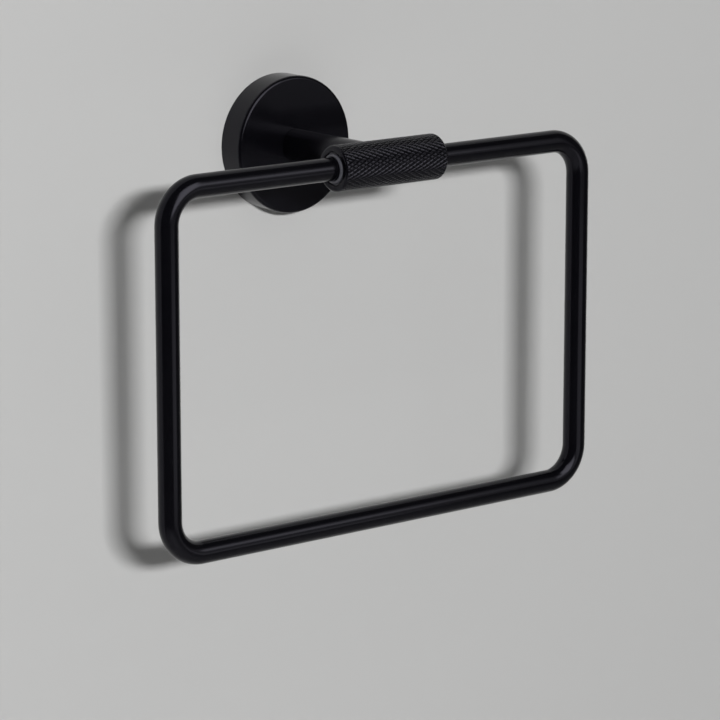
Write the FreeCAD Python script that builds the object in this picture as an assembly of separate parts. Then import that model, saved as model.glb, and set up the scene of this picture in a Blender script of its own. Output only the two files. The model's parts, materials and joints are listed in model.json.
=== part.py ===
"""Towel ring: a rectangular hoop of round bar that swings in a knurled barrel on a wall post.

Units are millimetres. X runs along the wall, Y into the wall and Z up. The origin is the centre of
the rose on the wall's surface, so the whole ring stands on the negative side of Y.
"""
import FreeCAD
import Part
import math
import os

# Rose, the turned cup against the wall
ROSE_DIAMETER = 55.0
ROSE_DEPTH = 12.0
ROSE_FRONT_WALL = 3.0
ROSE_RIM_WALL = 3.0
ROSE_EDGE_RADIUS = 1.3
ROSE_MOUTH_CHAMFER = 0.4

# Wall bracket, the dished disc inside the rose
BRACKET_BASE = 2.5
BRACKET_HEIGHT = 6.0
BRACKET_RIM_WALL = 3.4
BRACKET_EDGE_CHAMFER = 0.5
GROOVE_DEPTH = 1.0
GROOVE_FROM_WALL = 3.2
SLOT_WIDTH = 4.6
SLOT_LENGTH = 9.0
SLOT_SPACING = 28.0
SLOT_SINK = 1.1

# Set screw in the rose's underside
GRUB_DIAMETER = 4.0
GRUB_LENGTH = 4.0
GRUB_SOCKET = 2.0
GRUB_SOCKET_DEPTH = 1.6

# Post and the bolt that holds it
POST_DIAMETER = 13.0
POST_FOOT_CHAMFER = 0.3
BOLT_DIAMETER = 5.0
BOLT_HEAD_DIAMETER = 9.5
BOLT_HEAD_HEIGHT = 2.75
BOLT_SOCKET = 3.0
BOLT_SOCKET_DEPTH = 1.6
WASHER_DIAMETER = 12.0
WASHER_THICKNESS = 1.0

# Hoop of round bar, measured between the bar's centre lines. It can slide in its bushes, and the
# slide is how far along X it stands from the barrel's middle.
BAR_DIAMETER = 9.0
HOOP_WIDTH = 202.0
HOOP_DROP = 140.0
HOOP_BEND_RADIUS = 14.0
HOOP_END_GAP = 0.4
HOOP_SLIDE = -1.3
DOWEL_DIAMETER = 4.0
DOWEL_LENGTH = 16.0

# Bushes that the bar turns in, one in each end of the barrel
BUSH_WALL = 2.0
BUSH_LENGTH = 11.0
BUSH_NOSE_STEP = 0.75
BUSH_NOSE_DEPTH = 1.4
BUSH_PROUD = 0.4
BUSH_LIP_RADIUS = 0.7
BUSH_MOUTH_CHAMFER = 0.3
BUSH_DIAMETER = BAR_DIAMETER + 2 * BUSH_WALL

# Barrel across the post's end, and its diamond knurl
AXIS_FROM_WALL = 68.5
BARREL_WALL = 2.5
BARREL_LENGTH = 50.0
BARREL_END_CHAMFER = 1.2
BARREL_MOUTH_CHAMFER = 0.3
KNURL_COUNT = 32
KNURL_AXIAL_PITCH = 3.4
KNURL_DEPTH = 0.45
BARREL_DIAMETER = BUSH_DIAMETER + 2 * BARREL_WALL

# Clearances
ROSE_ON_BRACKET = 0.15
BAR_IN_BUSH = 0.05
BAR_IN_BARREL = 0.4
BUSH_IN_BARREL = 0.02
THREAD_CLEARANCE = 0.05
BOLT_IN_POST = 0.3
BOLT_IN_ROSE = 0.25
POST_ON_BARREL = 0.02
BOLT_SHORT_OF_BORE = 0.4
DOWEL_IN_BAR = 0.02
DOWEL_END_GAP = 0.5

ALONG_X = FreeCAD.Vector(1, 0, 0)
OUT_OF_WALL = FreeCAD.Vector(0, -1, 0)
UP = FreeCAD.Vector(0, 0, 1)
HINGE_POINT = FreeCAD.Vector(0, -AXIS_FROM_WALL, 0)
HOOP_MIDDLE = HINGE_POINT + ALONG_X * HOOP_SLIDE


def turned(profile, start, direction):
    """Solid turned about an axis, from points given as (distance along the axis, radius).

    A point may carry a third value, the fillet radius at that corner.
    """
    points = [FreeCAD.Vector(corner[0], corner[1], 0) for corner in profile]
    edges = []
    count = len(points)
    cuts = [corner_cut(points, index, profile[index]) for index in range(count)]
    for index in range(count):
        leave = cuts[index][1]
        reach = cuts[(index + 1) % count][0]
        if cuts[index][2] is not None:
            edges.append(Part.Arc(cuts[index][0], cuts[index][2], leave).toShape())
        if leave.distanceToPoint(reach) > 1e-6:
            edges.append(Part.LineSegment(leave, reach).toShape())
    face = Part.Face(Part.Wire(edges))
    solid = face.revolve(FreeCAD.Vector(0, 0, 0), ALONG_X, 360)
    solid.Placement = FreeCAD.Placement(start, FreeCAD.Rotation(ALONG_X, direction))
    return solid


def corner_cut(points, index, corner):
    """Where a fillet at a corner starts and ends, and its middle; a sharp corner has no middle."""
    here = points[index]
    if len(corner) < 3:
        return here, here, None
    back = (points[index - 1] - here).normalize()
    ahead = (points[(index + 1) % len(points)] - here).normalize()
    half_turn = back.getAngle(ahead) / 2
    radius = corner[2]
    reach = radius / math.tan(half_turn)
    to_centre = (back + ahead).normalize()
    centre = here + to_centre * (radius / math.sin(half_turn))
    return here + back * reach, here + ahead * reach, centre - to_centre * radius


def cylinder(start, direction, radius, length):
    return Part.makeCylinder(radius, length, start, direction)


def hexagon_socket(across_flats, depth, start, direction):
    """Hexagonal recess tool with a drilled, conical bottom."""
    corner = across_flats / math.sqrt(3)
    points = []
    for step in range(7):
        angle = math.radians(60 * step)
        points.append(FreeCAD.Vector(0, corner * math.cos(angle), corner * math.sin(angle)))
    prism = Part.Face(Part.makePolygon(points)).extrude(FreeCAD.Vector(depth, 0, 0))
    cone_depth = across_flats / 2 * math.tan(math.radians(30))
    cone = Part.makeCone(across_flats / 2, 0, cone_depth, FreeCAD.Vector(depth, 0, 0), ALONG_X)
    tool = prism.fuse(cone)
    tool.Placement = FreeCAD.Placement(start, FreeCAD.Rotation(ALONG_X, direction))
    return tool


def along_post(distance):
    """Point on the post's axis at a distance from the wall."""
    return FreeCAD.Vector(0, -distance, 0)


def rose_cover():
    """Turned cup with a rounded front edge, a bolt hole and a tapped hole in its underside."""
    outer = ROSE_DIAMETER / 2
    inner = outer - ROSE_RIM_WALL
    hole = BOLT_DIAMETER / 2 + BOLT_IN_ROSE
    cup = turned(
        [
            (0, inner + ROSE_MOUTH_CHAMFER),
            (0, outer),
            (ROSE_DEPTH, outer, ROSE_EDGE_RADIUS),
            (ROSE_DEPTH, hole),
            (ROSE_DEPTH - ROSE_FRONT_WALL, hole),
            (ROSE_DEPTH - ROSE_FRONT_WALL, inner),
            (ROSE_MOUTH_CHAMFER, inner),
        ],
        along_post(0),
        OUT_OF_WALL,
    )
    tapped = cylinder(
        along_post(GROOVE_FROM_WALL) - UP * (outer + 1),
        UP,
        GRUB_DIAMETER / 2 + THREAD_CLEARANCE,
        ROSE_RIM_WALL + 2,
    )
    return cup.cut(tapped)


def bracket_radius():
    return ROSE_DIAMETER / 2 - ROSE_RIM_WALL - ROSE_ON_BRACKET


def slot_tool(width, length, start, depth):
    """Straight slot along X with round ends, cut out of the wall's side towards the front."""
    travel = length - width
    block = Part.makeBox(travel, depth, width, start + FreeCAD.Vector(-travel / 2, -depth, -width / 2))
    ends = []
    for side in (-1, 1):
        centre = start + ALONG_X * (side * travel / 2)
        ends.append(cylinder(centre, OUT_OF_WALL, width / 2, depth))
    return block.multiFuse(ends)


def slot_sink(start):
    """Shallow conical seat for a countersunk head, drawn out along the slot."""
    travel = SLOT_LENGTH - SLOT_WIDTH
    small = SLOT_WIDTH / 2
    cones = []
    for side in (-1, 1):
        centre = start + ALONG_X * (side * travel / 2)
        cones.append(Part.makeCone(small, small + SLOT_SINK, SLOT_SINK, centre, OUT_OF_WALL))
    corners = [
        FreeCAD.Vector(0, 0, -small),
        FreeCAD.Vector(0, 0, small),
        FreeCAD.Vector(0, -SLOT_SINK, small + SLOT_SINK),
        FreeCAD.Vector(0, -SLOT_SINK, -small - SLOT_SINK),
        FreeCAD.Vector(0, 0, -small),
    ]
    wedge = Part.Face(Part.makePolygon(corners)).extrude(ALONG_X * travel)
    wedge.translate(start - ALONG_X * (travel / 2))
    return wedge.multiFuse(cones)


def wall_bracket():
    """Dished disc with a groove round its rim for the set screw and two slots for wall screws."""
    outer = bracket_radius()
    inner = outer - BRACKET_RIM_WALL
    disc = turned(
        [
            (0, 0),
            (0, outer),
            (GROOVE_FROM_WALL - GROOVE_DEPTH, outer),
            (GROOVE_FROM_WALL, outer - GROOVE_DEPTH),
            (GROOVE_FROM_WALL + GROOVE_DEPTH, outer),
            (BRACKET_HEIGHT - BRACKET_EDGE_CHAMFER, outer),
            (BRACKET_HEIGHT, outer - BRACKET_EDGE_CHAMFER),
            (BRACKET_HEIGHT, inner),
            (BRACKET_BASE, inner),
            (BRACKET_BASE, 0),
        ],
        along_post(0),
        OUT_OF_WALL,
    )
    tools = []
    for side in (-1, 1):
        centre = ALONG_X * (side * SLOT_SPACING / 2)
        tools.append(slot_tool(SLOT_WIDTH, SLOT_LENGTH, centre - OUT_OF_WALL, BRACKET_BASE + 2))
        tools.append(slot_sink(centre + along_post(BRACKET_BASE - SLOT_SINK)))
    return disc.cut(tools)


def rose_grub_screw():
    """Set screw with a right-angled cone point that seats in the bracket's groove."""
    radius = GRUB_DIAMETER / 2
    groove_bottom = bracket_radius() - GROOVE_DEPTH
    tip = along_post(GROOVE_FROM_WALL) - UP * (groove_bottom + THREAD_CLEARANCE)
    screw = turned([(0, 0), (radius, radius), (GRUB_LENGTH, radius), (GRUB_LENGTH, 0)], tip, -UP)
    return screw.cut(hexagon_socket(GRUB_SOCKET, GRUB_SOCKET_DEPTH, tip - UP * GRUB_LENGTH, UP))


def post():
    """Round bar bored for the bolt, its front end hollowed to the barrel's curve."""
    seat_radius = BARREL_DIAMETER / 2 + POST_ON_BARREL
    radius = POST_DIAMETER / 2
    bore = BOLT_DIAMETER / 2 + BOLT_IN_POST
    bar = turned(
        [
            (ROSE_DEPTH, bore),
            (ROSE_DEPTH, radius - POST_FOOT_CHAMFER),
            (ROSE_DEPTH + POST_FOOT_CHAMFER, radius),
            (AXIS_FROM_WALL, radius),
            (AXIS_FROM_WALL, bore),
        ],
        along_post(0),
        OUT_OF_WALL,
    )
    saddle = cylinder(HINGE_POINT - ALONG_X * POST_DIAMETER, ALONG_X, seat_radius, 2 * POST_DIAMETER)
    pieces = bar.cut(saddle).Solids
    return max(pieces, key=lambda piece: piece.Volume)


def post_washer():
    inner_face = ROSE_DEPTH - ROSE_FRONT_WALL
    hole = BOLT_DIAMETER / 2 + BOLT_IN_ROSE
    return turned(
        [
            (inner_face - WASHER_THICKNESS, hole),
            (inner_face - WASHER_THICKNESS, WASHER_DIAMETER / 2),
            (inner_face, WASHER_DIAMETER / 2),
            (inner_face, hole),
        ],
        along_post(0),
        OUT_OF_WALL,
    )


def post_bolt():
    """Button head bolt from the rose's inside to just short of the barrel's middle bore."""
    head_seat = ROSE_DEPTH - ROSE_FRONT_WALL - WASHER_THICKNESS
    head_top = head_seat - BOLT_HEAD_HEIGHT
    shank = BOLT_DIAMETER / 2
    tip = AXIS_FROM_WALL - BAR_DIAMETER / 2 - BAR_IN_BARREL - BOLT_SHORT_OF_BORE
    bolt = turned(
        [
            (head_top, 0),
            (head_top, BOLT_SOCKET),
            (head_seat - BOLT_HEAD_HEIGHT / 2, BOLT_HEAD_DIAMETER / 2 - BOLT_HEAD_HEIGHT / 4),
            (head_seat - BOLT_HEAD_HEIGHT / 6, BOLT_HEAD_DIAMETER / 2),
            (head_seat, BOLT_HEAD_DIAMETER / 2),
            (head_seat, shank),
            (tip - shank / 4, shank),
            (tip, shank * 3 / 4),
            (tip, 0),
        ],
        along_post(0),
        OUT_OF_WALL,
    )
    return bolt.cut(hexagon_socket(BOLT_SOCKET, BOLT_SOCKET_DEPTH, along_post(head_top), OUT_OF_WALL))


def knurl_point(column, row, radius):
    """Lattice point of the knurl: columns are half pitches round the barrel, rows along it."""
    angle = math.pi * column / KNURL_COUNT
    along = row * KNURL_AXIAL_PITCH / 2
    return HINGE_POINT + FreeCAD.Vector(along, radius * math.sin(angle), radius * math.cos(angle))


def knurled_stock():
    """Bar rolled with crossed helical grooves, which leave pointed diamonds between them.

    A lattice point whose column and row add up to an even number is the tip of a diamond. The others
    are where two grooves cross. Each diamond is four triangles from its tip to its corners. The stock
    runs past both ends of the barrel, where a low cone closes it.
    """
    columns = 2 * KNURL_COUNT
    last = math.ceil(BARREL_LENGTH / KNURL_AXIAL_PITCH) + 1
    crest = BARREL_DIAMETER / 2
    points = []
    for row in range(-last, last + 1):
        for column in range(columns):
            is_tip = (row + column) % 2 == 0
            points.append(knurl_point(column, row, crest if is_tip else crest - KNURL_DEPTH))

    def number(column, row):
        return (row + last) * columns + column % columns

    triangles = []
    for row in range(1 - last, last):
        for column in range(row % 2, columns, 2):
            corners = [
                number(column + 1, row),
                number(column, row + 1),
                number(column - 1, row),
                number(column, row - 1),
            ]
            for index in range(4):
                triangles.append((number(column, row), corners[index], corners[index - 1]))
    for side in (-1, 1):
        centre = len(points)
        points.append(HINGE_POINT + ALONG_X * (side * (last + 1) * KNURL_AXIAL_PITCH / 2))
        rim = []
        for column in range(columns + 1):
            step_back = (last + column + 1) % 2
            rim.append(number(column, side * (last - step_back)))
        for index in range(columns):
            pair = (rim[index + 1], rim[index]) if side > 0 else (rim[index], rim[index + 1])
            triangles.append((centre, *pair))
    skin = Part.Shape()
    skin.makeShapeFromMesh((points, triangles), 1e-4)
    return Part.Solid(Part.Shell(skin.Faces))


def knurled_barrel():
    """Knurled tube with chamfered ends, a counterbore for each bush and a tapped hole for the bolt."""
    half = BARREL_LENGTH / 2
    outer = BARREL_DIAMETER / 2
    over = outer + 1
    socket = BUSH_DIAMETER / 2
    middle = BAR_DIAMETER / 2 + BAR_IN_BARREL
    blank = turned(
        [
            (-half, socket + BARREL_MOUTH_CHAMFER),
            (-half, outer - BARREL_END_CHAMFER),
            (-half + BARREL_END_CHAMFER + 1, over),
            (half - BARREL_END_CHAMFER - 1, over),
            (half, outer - BARREL_END_CHAMFER),
            (half, socket + BARREL_MOUTH_CHAMFER),
            (half - BARREL_MOUTH_CHAMFER, socket),
            (half - BUSH_LENGTH, socket),
            (half - BUSH_LENGTH, middle),
            (-half + BUSH_LENGTH, middle),
            (-half + BUSH_LENGTH, socket),
            (-half + BARREL_MOUTH_CHAMFER, socket),
        ],
        HINGE_POINT,
        ALONG_X,
    )
    tapped = cylinder(HINGE_POINT, -OUT_OF_WALL, BOLT_DIAMETER / 2 + THREAD_CLEARANCE, BARREL_DIAMETER)
    return knurled_stock().common(blank).cut(tapped)


def bush(side):
    """Bush in one end of the barrel, with a narrower rounded nose standing just out of it."""
    inner = BAR_DIAMETER / 2 + BAR_IN_BUSH
    body = BUSH_DIAMETER / 2 - BUSH_IN_BARREL
    nose = body - BUSH_NOSE_STEP
    end = BARREL_LENGTH / 2
    front = end + BUSH_PROUD
    back = end - BUSH_LENGTH + BUSH_IN_BARREL
    return turned(
        [
            (front - BUSH_MOUTH_CHAMFER, inner),
            (front, inner + BUSH_MOUTH_CHAMFER),
            (front, nose, BUSH_LIP_RADIUS),
            (end - BUSH_NOSE_DEPTH, nose),
            (end - BUSH_NOSE_DEPTH, body),
            (back, body),
            (back, inner),
        ],
        HINGE_POINT,
        ALONG_X * side,
    )


def hoop():
    """Round bar bent four times, clockwise seen from the front, its ends meeting in the barrel."""
    radius = BAR_DIAMETER / 2
    half_top = (HOOP_WIDTH - HOOP_END_GAP) / 2 - HOOP_BEND_RADIUS
    across = HOOP_WIDTH - 2 * HOOP_BEND_RADIUS
    down = HOOP_DROP - 2 * HOOP_BEND_RADIUS
    turn = FreeCAD.Rotation(-OUT_OF_WALL, 90)
    here = HOOP_MIDDLE + ALONG_X * (HOOP_END_GAP / 2)
    heading = ALONG_X
    pieces = []
    for run in (half_top, down, across, down):
        pieces.append(cylinder(here, heading, radius, run))
        here = here + heading * run
        ahead = turn.multVec(heading)
        section = Part.Face(Part.Wire(Part.makeCircle(radius, here, heading)))
        pieces.append(section.revolve(here + ahead * HOOP_BEND_RADIUS, -OUT_OF_WALL, 90))
        here = here + (heading + ahead) * HOOP_BEND_RADIUS
        heading = ahead
    pieces.append(cylinder(here, heading, radius, half_top))
    bar = pieces[0].multiFuse(pieces[1:]).removeSplitter()
    return bar.cut(hoop_dowel_space())


def hoop_dowel_space():
    length = DOWEL_LENGTH + 2 * DOWEL_END_GAP
    start = HOOP_MIDDLE - ALONG_X * (length / 2)
    return cylinder(start, ALONG_X, DOWEL_DIAMETER / 2 + DOWEL_IN_BAR, length)


def hoop_dowel():
    start = HOOP_MIDDLE - ALONG_X * (DOWEL_LENGTH / 2)
    return cylinder(start, ALONG_X, DOWEL_DIAMETER / 2, DOWEL_LENGTH)


def main():
    os.makedirs("parts", exist_ok=True)
    pieces = {
        "rose_cover": rose_cover(),
        "wall_bracket": wall_bracket(),
        "rose_grub_screw": rose_grub_screw(),
        "post": post(),
        "post_washer": post_washer(),
        "post_bolt": post_bolt(),
        "knurled_barrel": knurled_barrel(),
        "bush_left": bush(-1),
        "bush_right": bush(1),
        "hoop": hoop(),
        "hoop_dowel": hoop_dowel(),
    }
    for name, shape in pieces.items():
        shape.exportStep(f"parts/{name}.step")


main()
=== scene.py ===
"""Looks of a satin black towel ring on a pale wall.

Lengths are in metres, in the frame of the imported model: X along the wall, Y into it and Z up, with
the origin at the rose's centre on the wall.
"""

import json
import math

import bpy
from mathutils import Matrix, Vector

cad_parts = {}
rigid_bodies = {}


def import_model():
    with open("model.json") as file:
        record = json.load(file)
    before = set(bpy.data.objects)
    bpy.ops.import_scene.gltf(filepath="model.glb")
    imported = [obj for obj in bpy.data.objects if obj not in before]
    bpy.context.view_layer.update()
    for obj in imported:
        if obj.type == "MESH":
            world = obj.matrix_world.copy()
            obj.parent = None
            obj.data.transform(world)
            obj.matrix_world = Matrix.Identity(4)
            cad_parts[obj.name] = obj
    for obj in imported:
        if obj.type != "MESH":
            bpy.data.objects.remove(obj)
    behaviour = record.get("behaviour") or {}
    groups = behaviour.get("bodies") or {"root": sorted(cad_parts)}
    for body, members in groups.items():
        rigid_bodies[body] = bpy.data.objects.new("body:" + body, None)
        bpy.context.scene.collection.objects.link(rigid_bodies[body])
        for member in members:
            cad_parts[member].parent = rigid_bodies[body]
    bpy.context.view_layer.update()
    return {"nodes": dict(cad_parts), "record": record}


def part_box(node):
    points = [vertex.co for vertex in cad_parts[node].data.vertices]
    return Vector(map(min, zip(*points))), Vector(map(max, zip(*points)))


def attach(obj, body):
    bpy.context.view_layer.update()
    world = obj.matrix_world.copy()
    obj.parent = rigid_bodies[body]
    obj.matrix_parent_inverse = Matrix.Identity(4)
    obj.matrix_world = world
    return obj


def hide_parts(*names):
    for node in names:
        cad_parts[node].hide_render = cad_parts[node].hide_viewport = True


for leftover in list(bpy.data.objects):
    bpy.data.objects.remove(leftover)

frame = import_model()

# Where the photograph was taken from
CAMERA_AZIMUTH = -38.24
CAMERA_ELEVATION = 12.42
CAMERA_DISTANCE = 1.3352
CAMERA_TARGET = Vector((-0.0004, -0.054, -0.0802))
LENS_MM = 170.0
SENSOR_MM = 36.0

# Diamond knurl, as rolled on the barrel: flat-topped diamonds between two families of grooves
KNURL_COUNT = 32
KNURL_AXIAL_PITCH = 0.0034
KNURL_DEPTH = 0.00014
KNURL_GROOVE_DEPTH = 0.00017
KNURL_FLAT_SHARE = 0.5
KNURL_STEPS = 6

# Barrel's ends and bores
BARREL_END_ROUNDING = 0.0012
ROUNDING_STEPS = 8
BARREL_MOUTH_CHAMFER = 0.0003
BUSH_FIT = 0.00002
BAR_CLEARANCE = 0.0004
BARREL_CREASE = math.radians(12)

# Hoop of round bar
BAR_SIDES = 72
BEND_STEPS = 28
BEND_RADIUS = 0.014
HALF_END_GAP = 0.0002
HOOP_CREASE = math.radians(60)

# Stage
WALL_HALF_WIDTH = 14.0
WALL_TOP = 4.0
FLOOR_LEVEL = -1.4
FLOOR_DEPTH = 20.0
COVE_RADIUS = 0.25
COVE_STEPS = 16
HOLE_INSIDE_ROSE = 0.0025
HOLE_SIDES = 96
NEARLY_ZERO = 1e-9
STAGE_COLOUR = (0.62, 0.62, 0.615, 1)
STAGE_ROUGHNESS = 0.9
STAGE_SPECULAR = 0.1
ROOM_BRIGHTNESS = 0.04

# Fine skin: how fine its clouds and grain are, and how much each adds to sheen and height
CLOUD_DETAIL = 3.0
GRAIN_DETAIL = 2.0
FINE_GRAIN_DETAIL = 1.0
FINE_GRAIN_RATIO = 3.3
FINE_GRAIN_SHARE = 0.3
GRAIN_SHEEN_SHARE = 0.5
SHEEN_MIDDLE = 0.75

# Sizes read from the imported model
BARREL_LOW, BARREL_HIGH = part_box("knurled_barrel")
HOOP_LOW, HOOP_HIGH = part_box("hoop")
ROSE_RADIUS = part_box("rose_cover")[1].z
BUSH_LOW, BUSH_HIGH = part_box("bush_right")
BARREL_RADIUS = BARREL_HIGH.z
BARREL_HALF = BARREL_HIGH.x
AXIS_Y = (BARREL_LOW.y + BARREL_HIGH.y) / 2
BAR_RADIUS = HOOP_HIGH.z
SEAT_RADIUS = BUSH_HIGH.z + BUSH_FIT
SEAT_END = BUSH_LOW.x - BUSH_FIT


# Meshes

def add_object(name, vertices, faces, smooth=True):
    mesh = bpy.data.meshes.new(name)
    mesh.from_pydata(vertices, [], faces)
    mesh.polygons.foreach_set("use_smooth", [smooth] * len(mesh.polygons))
    mesh.update()
    piece = bpy.data.objects.new(name, mesh)
    bpy.context.scene.collection.objects.link(piece)
    return piece


def bridge(first, second, sides):
    """Quads between two rings, given by the numbers of their first vertices."""
    return [
        (first + side, second + side, second + (side + 1) % sides, first + (side + 1) % sides)
        for side in range(sides)
    ]


def knurl_cut(column, row):
    """Depth below the diamonds' flat tops, at a step counted from the middle of one diamond."""
    rising = abs(math.remainder(column + row, 2 * KNURL_STEPS)) / KNURL_STEPS
    falling = abs(math.remainder(column - row, 2 * KNURL_STEPS)) / KNURL_STEPS
    from_groove = 1 - max(rising, falling)
    half_step = 0.5 / KNURL_STEPS
    if from_groove < half_step:
        return KNURL_GROOVE_DEPTH
    return KNURL_DEPTH * (1 - min(1, from_groove / (1 - KNURL_FLAT_SHARE)))


def knurl_split(column, row, corners):
    """Two triangles for a cell of the knurl, with the grooves along their shared edge."""
    low_left, high_left, high_right, low_right = corners
    if (column + row + 1) % KNURL_STEPS == 0:
        return [(low_left, high_left, low_right), (high_left, high_right, low_right)]
    return [(low_left, high_left, high_right), (low_left, high_right, low_right)]


def skin_rows():
    """Rings of the barrel from left to right, counted in steps of the knurl, and the step's length.

    The rings lie a step apart on the straight part and closer together round the two ends.
    """
    step = KNURL_AXIAL_PITCH / 2 / KNURL_STEPS
    reach = math.floor((BARREL_HALF - BARREL_END_ROUNDING) / step)
    ends = []
    for index in range(ROUNDING_STEPS + 1):
        rise = math.sin(math.pi / 2 * index / ROUNDING_STEPS)
        ends.append((BARREL_HALF - BARREL_END_ROUNDING * (1 - rise)) / step)
    return [-row for row in reversed(ends)] + list(range(-reach, reach + 1)) + ends, step


def knurled_skin():
    """Rings of the knurled surface from left to right, and the triangles between them."""
    columns = 2 * KNURL_COUNT * KNURL_STEPS
    rows, step = skin_rows()
    rings = []
    for row in rows:
        along = row * step
        inwards = max(0, BARREL_END_ROUNDING - BARREL_HALF + abs(along))
        rise = math.sqrt(max(0, BARREL_END_ROUNDING**2 - inwards**2))
        rounded = BARREL_RADIUS - BARREL_END_ROUNDING + rise
        ring = []
        for column in range(columns):
            knurled = BARREL_RADIUS - knurl_cut(column, row)
            ring.append((along, min(knurled, rounded)))
        rings.append(ring)
    faces = []
    for index in range(len(rings) - 1):
        corners = bridge(index * columns, (index + 1) * columns, columns)
        for column in range(columns):
            faces += knurl_split(column, rows[index], corners[column])
    return rings, faces


def make_knurled_barrel():
    """Barrel with its diamond knurl, rounded ends and the seats of the bushes."""
    rings, faces = knurled_skin()
    columns = len(rings[0])
    mouth = [
        (BARREL_HALF, SEAT_RADIUS + BARREL_MOUTH_CHAMFER),
        (BARREL_HALF - BARREL_MOUTH_CHAMFER, SEAT_RADIUS),
        (SEAT_END, SEAT_RADIUS),
        (SEAT_END, BAR_RADIUS + BAR_CLEARANCE),
    ]
    knurled = len(rings)
    for along, radius in mouth:
        rings.append([(along, radius)] * columns)
    for along, radius in reversed(mouth):
        rings.append([(-along, radius)] * columns)
    for index in range(knurled - 1, len(rings)):
        faces += bridge(index * columns, (index + 1) % len(rings) * columns, columns)
    vertices = []
    for ring in rings:
        for column, (along, radius) in enumerate(ring):
            angle = math.tau * column / columns
            across = AXIS_Y + radius * math.sin(angle)
            vertices.append((along, across, radius * math.cos(angle)))
    barrel = add_object("barrel_skin", vertices, faces)
    barrel.data.set_sharp_from_angle(angle=BARREL_CREASE)
    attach(barrel, "fixing")
    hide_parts("knurled_barrel")
    return barrel


def hoop_path():
    """Centre line of the hoop from one end to the other, as points and headings."""
    left = HOOP_LOW.x + BAR_RADIUS
    right = HOOP_HIGH.x - BAR_RADIUS
    bottom = HOOP_LOW.z + BAR_RADIUS
    middle = (left + right) / 2
    bends = [
        (right - BEND_RADIUS, -BEND_RADIUS, 90),
        (right - BEND_RADIUS, bottom + BEND_RADIUS, 0),
        (left + BEND_RADIUS, bottom + BEND_RADIUS, -90),
        (left + BEND_RADIUS, -BEND_RADIUS, -180),
    ]
    path = [(Vector((middle + HALF_END_GAP, AXIS_Y, 0)), Vector((1, 0, 0)))]
    for x, z, start in bends:
        for step in range(BEND_STEPS + 1):
            angle = math.radians(start - 90 * step / BEND_STEPS)
            outward = Vector((math.cos(angle), 0, math.sin(angle)))
            point = Vector((x, AXIS_Y, z)) + outward * BEND_RADIUS
            path.append((point, Vector((outward.z, 0, -outward.x))))
    path.append((Vector((middle - HALF_END_GAP, AXIS_Y, 0)), Vector((1, 0, 0))))
    return path


def make_hoop():
    """Round bar along the hoop's centre line, its two ends cut square."""
    vertices = []
    faces = []
    path = hoop_path()
    towards_wall = Vector((0, 1, 0))
    for point, heading in path:
        outward = heading.cross(towards_wall)
        for side in range(BAR_SIDES):
            angle = math.tau * side / BAR_SIDES
            offset = outward * math.cos(angle) + towards_wall * math.sin(angle)
            vertices.append(point + offset * BAR_RADIUS)
    for ring in range(len(path) - 1):
        faces += bridge(ring * BAR_SIDES, (ring + 1) * BAR_SIDES, BAR_SIDES)
    faces.append(tuple(reversed(range(BAR_SIDES))))
    faces.append(tuple(range(len(vertices) - BAR_SIDES, len(vertices))))
    hoop = add_object("hoop_bar", vertices, faces)
    hoop.data.set_sharp_from_angle(angle=HOOP_CREASE)
    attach(hoop, "ring")
    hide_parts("hoop")
    return hoop


# Stage

def make_wall():
    """Pale wall with a round hole behind the rose, where light reaches the bracket's back."""
    hole = ROSE_RADIUS - HOLE_INSIDE_ROSE
    bottom = FLOOR_LEVEL + COVE_RADIUS
    directions = []
    for index in range(HOLE_SIDES):
        angle = math.tau * index / HOLE_SIDES
        directions.append((math.cos(angle), math.sin(angle)))
    vertices = [(hole * across, 0, hole * up) for across, up in directions]
    for across, up in directions:
        limit = WALL_TOP if up > 0 else -bottom
        reach = min(
            WALL_HALF_WIDTH / max(abs(across), NEARLY_ZERO),
            limit / max(abs(up), NEARLY_ZERO),
        )
        vertices.append((reach * across, 0, reach * up))
    faces = bridge(0, HOLE_SIDES, HOLE_SIDES)
    for index in range(HOLE_SIDES, 2 * HOLE_SIDES):
        after = HOLE_SIDES + (index + 1) % HOLE_SIDES
        here = vertices[index]
        there = vertices[after]
        if here[0] != there[0] and here[2] != there[2]:
            corner = len(vertices)
            side = math.copysign(WALL_HALF_WIDTH, here[0] + there[0])
            vertices.append((side, 0, WALL_TOP if here[2] + there[2] > 0 else bottom))
            faces.append((index, corner, after))
    wall = add_object("wall", vertices, faces, smooth=False)
    return wall


def make_floor():
    """Cove under the wall and the floor in front of it."""
    profile = []
    for step in range(COVE_STEPS + 1):
        angle = math.pi / 2 * step / COVE_STEPS
        rise = COVE_RADIUS * (1 - math.sin(angle))
        profile.append((-COVE_RADIUS * (1 - math.cos(angle)), FLOOR_LEVEL + rise))
    profile.append((-FLOOR_DEPTH, FLOOR_LEVEL))
    vertices = []
    for y, z in profile:
        vertices += [(-WALL_HALF_WIDTH, y, z), (WALL_HALF_WIDTH, y, z)]
    faces = []
    for step in range(len(profile) - 1):
        low = 2 * step
        faces.append((low, low + 2, low + 3, low + 1))
    floor = add_object("floor", vertices, faces)
    return floor


# Materials

def new_material(name):
    """Material with its node tree and its Principled shader."""
    material = bpy.data.materials.new(name)
    material.use_nodes = True
    tree = material.node_tree
    return material, tree, tree.nodes["Principled BSDF"]


def add_node(tree, kind, **settings):
    node = tree.nodes.new(kind)
    for name, value in settings.items():
        setattr(node, name, value)
    return node


def calculate(tree, operation, *values):
    """Math node whose inputs are sockets or numbers; gives its output."""
    node = add_node(tree, "ShaderNodeMath", operation=operation)
    for index, value in enumerate(values):
        if isinstance(value, (int, float)):
            node.inputs[index].default_value = value
        else:
            tree.links.new(value, node.inputs[index])
    return node.outputs[0]


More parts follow.
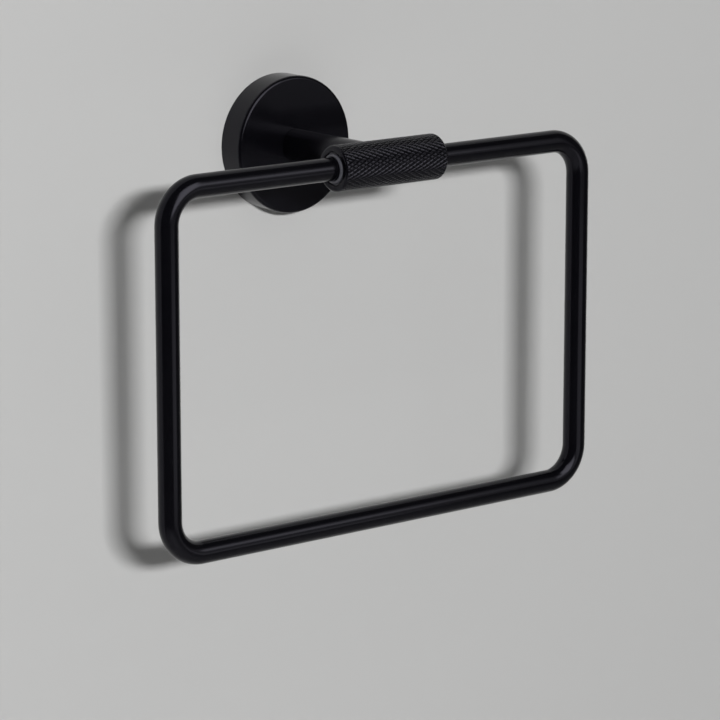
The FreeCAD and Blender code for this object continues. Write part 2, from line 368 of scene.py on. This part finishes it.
def new_group(name, inputs, outputs):
    """Shader node group with named sockets; gives the tree, its given values and its results."""
    group = bpy.data.node_groups.new(name, "ShaderNodeTree")
    for label, value in inputs.items():
        kind = "NodeSocketFloat" if isinstance(value, float) else "NodeSocketColor"
        socket = group.interface.new_socket(name=label, in_out="INPUT", socket_type=kind)
        socket.default_value = value
    for label in outputs:
        kind = "NodeSocketColor" if label == "Colour" else "NodeSocketFloat"
        group.interface.new_socket(name=label, in_out="OUTPUT", socket_type=kind)
    given = group.nodes.new("NodeGroupInput")
    results = group.nodes.new("NodeGroupOutput")
    return group, given.outputs, results.inputs


def noise(tree, place, scale, detail):
    node = add_node(tree, "ShaderNodeTexNoise")
    node.inputs["Detail"].default_value = detail
    tree.links.new(place, node.inputs["Vector"])
    tree.links.new(scale, node.inputs["Scale"])
    return node.outputs["Fac"]


def skin_group():
    """Skin of a coated, moulded or plated part: clouded colour and sheen, and a fine grain."""
    inputs = {
        "Dark": (0.0, 0.0, 0.0, 1.0),
        "Light": (1.0, 1.0, 1.0, 1.0),
        "Sheen": 0.3,
        "Clouding": 0.06,
        "Cloud scale": 90.0,
        "Grain scale": 2400.0,
    }
    tree, given, results = new_group("fine_skin", inputs, ["Colour", "Roughness", "Height"])
    place = add_node(tree, "ShaderNodeTexCoord").outputs["Object"]
    fine_scale = calculate(tree, "MULTIPLY", given["Grain scale"], FINE_GRAIN_RATIO)
    cloud = noise(tree, place, given["Cloud scale"], CLOUD_DETAIL)
    coarse = noise(tree, place, given["Grain scale"], GRAIN_DETAIL)
    fine = noise(tree, place, fine_scale, FINE_GRAIN_DETAIL)
    colour = add_node(tree, "ShaderNodeMix", data_type="RGBA")
    tree.links.new(cloud, colour.inputs["Factor"])
    tree.links.new(given["Dark"], colour.inputs["A"])
    tree.links.new(given["Light"], colour.inputs["B"])
    tree.links.new(colour.outputs["Result"], results["Colour"])
    mixed = calculate(tree, "ADD", cloud, calculate(tree, "MULTIPLY", coarse, GRAIN_SHEEN_SHARE))
    sway = calculate(tree, "SUBTRACT", mixed, SHEEN_MIDDLE)
    rough = calculate(tree, "MULTIPLY_ADD", sway, given["Clouding"], given["Sheen"])
    tree.links.new(rough, results["Roughness"])
    height = calculate(tree, "MULTIPLY_ADD", fine, FINE_GRAIN_SHARE, coarse)
    tree.links.new(height, results["Height"])
    return tree


def finish(name, group, skin, shader_values, grain_depth):
    """Material whose colour, roughness and grain come from the skin group."""
    material, tree, shader = new_material(name)
    for label, value in shader_values.items():
        shader.inputs[label].default_value = value
    placed = add_node(tree, "ShaderNodeGroup", node_tree=group)
    for label, value in skin.items():
        placed.inputs[label].default_value = value
    relief = add_node(tree, "ShaderNodeBump")
    relief.inputs["Strength"].default_value = 1.0
    relief.inputs["Distance"].default_value = grain_depth
    tree.links.new(placed.outputs["Colour"], shader.inputs["Base Color"])
    tree.links.new(placed.outputs["Roughness"], shader.inputs["Roughness"])
    tree.links.new(placed.outputs["Height"], relief.inputs["Height"])
    tree.links.new(relief.outputs["Normal"], shader.inputs["Normal"])
    return material


def black_coat(group):
    """Satin black coating, a little violet in its sheen."""
    skin = {
        "Dark": (0.0018, 0.0017, 0.0026, 1),
        "Light": (0.0028, 0.0027, 0.0038, 1),
        "Sheen": 0.18,
    }
    gloss = {"Specular IOR Level": 0.26, "Specular Tint": (0.86, 0.84, 1, 1)}
    return finish("black_coat", group, skin, gloss, grain_depth=0.000001)


def black_nylon(group):
    """Moulded bush, duller and lighter than the coat."""
    skin = {
        "Dark": (0.06, 0.06, 0.07, 1),
        "Light": (0.075, 0.075, 0.09, 1),
        "Sheen": 0.36,
    }
    return finish("black_nylon", group, skin, {"Specular IOR Level": 0.5}, grain_depth=0.000006)


def plated_steel(group):
    """Dull plating, clouded by the bath."""
    skin = {
        "Dark": (0.46, 0.47, 0.49, 1),
        "Light": (0.58, 0.59, 0.61, 1),
        "Sheen": 0.34,
        "Clouding": 0.2,
    }
    return finish("plated_steel", group, skin, {"Metallic": 1.0}, grain_depth=0.000003)


def blackened_steel(group):
    """Oil-blackened screw."""
    skin = {
        "Dark": (0.02, 0.02, 0.022, 1),
        "Light": (0.045, 0.045, 0.05, 1),
        "Sheen": 0.36,
        "Clouding": 0.15,
    }
    return finish("blackened_steel", group, skin, {"Specular IOR Level": 0.6}, grain_depth=0.000003)


def stage_paint():
    """Plain pale paint, which only shows from its front."""
    material, tree, shader = new_material("stage_paint")
    shader.inputs["Base Color"].default_value = STAGE_COLOUR
    shader.inputs["Roughness"].default_value = STAGE_ROUGHNESS
    shader.inputs["Specular IOR Level"].default_value = STAGE_SPECULAR
    clear = add_node(tree, "ShaderNodeBsdfTransparent")
    side = add_node(tree, "ShaderNodeNewGeometry")
    mix = add_node(tree, "ShaderNodeMixShader")
    painted, unpainted = mix.inputs[1], mix.inputs[2]
    tree.links.new(side.outputs["Backfacing"], mix.inputs["Fac"])
    tree.links.new(shader.outputs["BSDF"], painted)
    tree.links.new(clear.outputs["BSDF"], unpainted)
    tree.links.new(mix.outputs["Shader"], tree.nodes["Material Output"].inputs["Surface"])
    return material


def give(piece, material):
    piece.data.materials.clear()
    piece.data.materials.append(material)


# Light and camera

def aim(thing, target):
    thing.rotation_mode = "QUATERNION"
    thing.rotation_quaternion = (target - thing.location).to_track_quat("-Z", "Y")


def around_ring(azimuth, elevation, distance):
    """Place about the hoop's middle; azimuth 0 is straight in front and 90 to the right."""
    across = math.radians(azimuth)
    up = math.radians(elevation)
    level = math.cos(up)
    back = Vector((math.sin(across) * level, -math.cos(across) * level, math.sin(up)))
    return CAMERA_TARGET + back * distance


def softbox(name, azimuth, elevation, distance, size, brightness):
    """Area lamp facing the ring; its brightness is that of its own surface, 1 being white."""
    light = bpy.data.lights.new(name, "AREA")
    light.shape = "RECTANGLE"
    light.size, light.size_y = size
    light.energy = brightness * math.pi * size[0] * size[1]
    lamp = bpy.data.objects.new(name, light)
    lamp.location = around_ring(azimuth, elevation, distance)
    lamp.visible_camera = False
    aim(lamp, CAMERA_TARGET)
    bpy.context.scene.collection.objects.link(lamp)
    return lamp


def make_wall_lights():
    """Lamps that light the wall and the floor and aren't mirrored in the coat."""
    lamps = [
        softbox("key", -22.5, 15, 3.0, (0.46, 0.15), 310),
        softbox("floor_light", 0, 35, 5.5, (4.0, 3.0), 0.4),
    ]
    for lamp in lamps:
        lamp.visible_glossy = False


def make_highlights():
    """Softboxes that show only as highlights in the coat and leave the wall's shadow alone."""
    lamps = [
        softbox("right_outer", 25, 16, 1.0, (0.9, 0.75), 0.35),
        softbox("right_inner", 34, 19, 0.98, (0.24, 0.28), 1.5),
        softbox("high_middle", 8, 25, 0.96, (0.6, 0.76), 2.8),
        softbox("low_strip", 18, -13, 0.7, (0.5, 0.16), 0.8),
    ]
    for lamp in lamps:
        lamp.visible_diffuse = False


def make_back_light():
    """Softbox behind the wall, for the bracket's back."""
    softbox("behind", 195, 40, 2.4, (1.6, 1.2), 9.0)


def make_camera():
    data = bpy.data.cameras.new("camera")
    data.lens = LENS_MM
    data.sensor_width = SENSOR_MM
    camera = bpy.data.objects.new("camera", data)
    camera.location = around_ring(CAMERA_AZIMUTH, CAMERA_ELEVATION, CAMERA_DISTANCE)
    aim(camera, CAMERA_TARGET)
    bpy.context.scene.collection.objects.link(camera)
    bpy.context.scene.camera = camera


def make_room_light():
    """Dim even room."""
    world = bpy.data.worlds.new("room")
    world.use_nodes = True
    backdrop = world.node_tree.nodes["Background"]
    backdrop.inputs["Color"].default_value = (1, 1, 1, 1)
    backdrop.inputs["Strength"].default_value = ROOM_BRIGHTNESS
    bpy.context.scene.world = world


barrel = make_knurled_barrel()
hoop = make_hoop()
paint = stage_paint()
give(make_wall(), paint)
give(make_floor(), paint)

skin = skin_group()
finishes = {
    "black_coat": black_coat(skin),
    "black_nylon": black_nylon(skin),
    "plated_steel": plated_steel(skin),
    "blackened_steel": blackened_steel(skin),
}
for entry in frame["record"]["subparts"]:
    give(frame["nodes"][entry["node"]], finishes[entry["material_slot"]])
give(barrel, finishes["black_coat"])
give(hoop, finishes["black_coat"])

make_camera()
make_room_light()
make_wall_lights()
make_highlights()
make_back_light()

bpy.context.scene.view_settings.view_transform = "Standard"
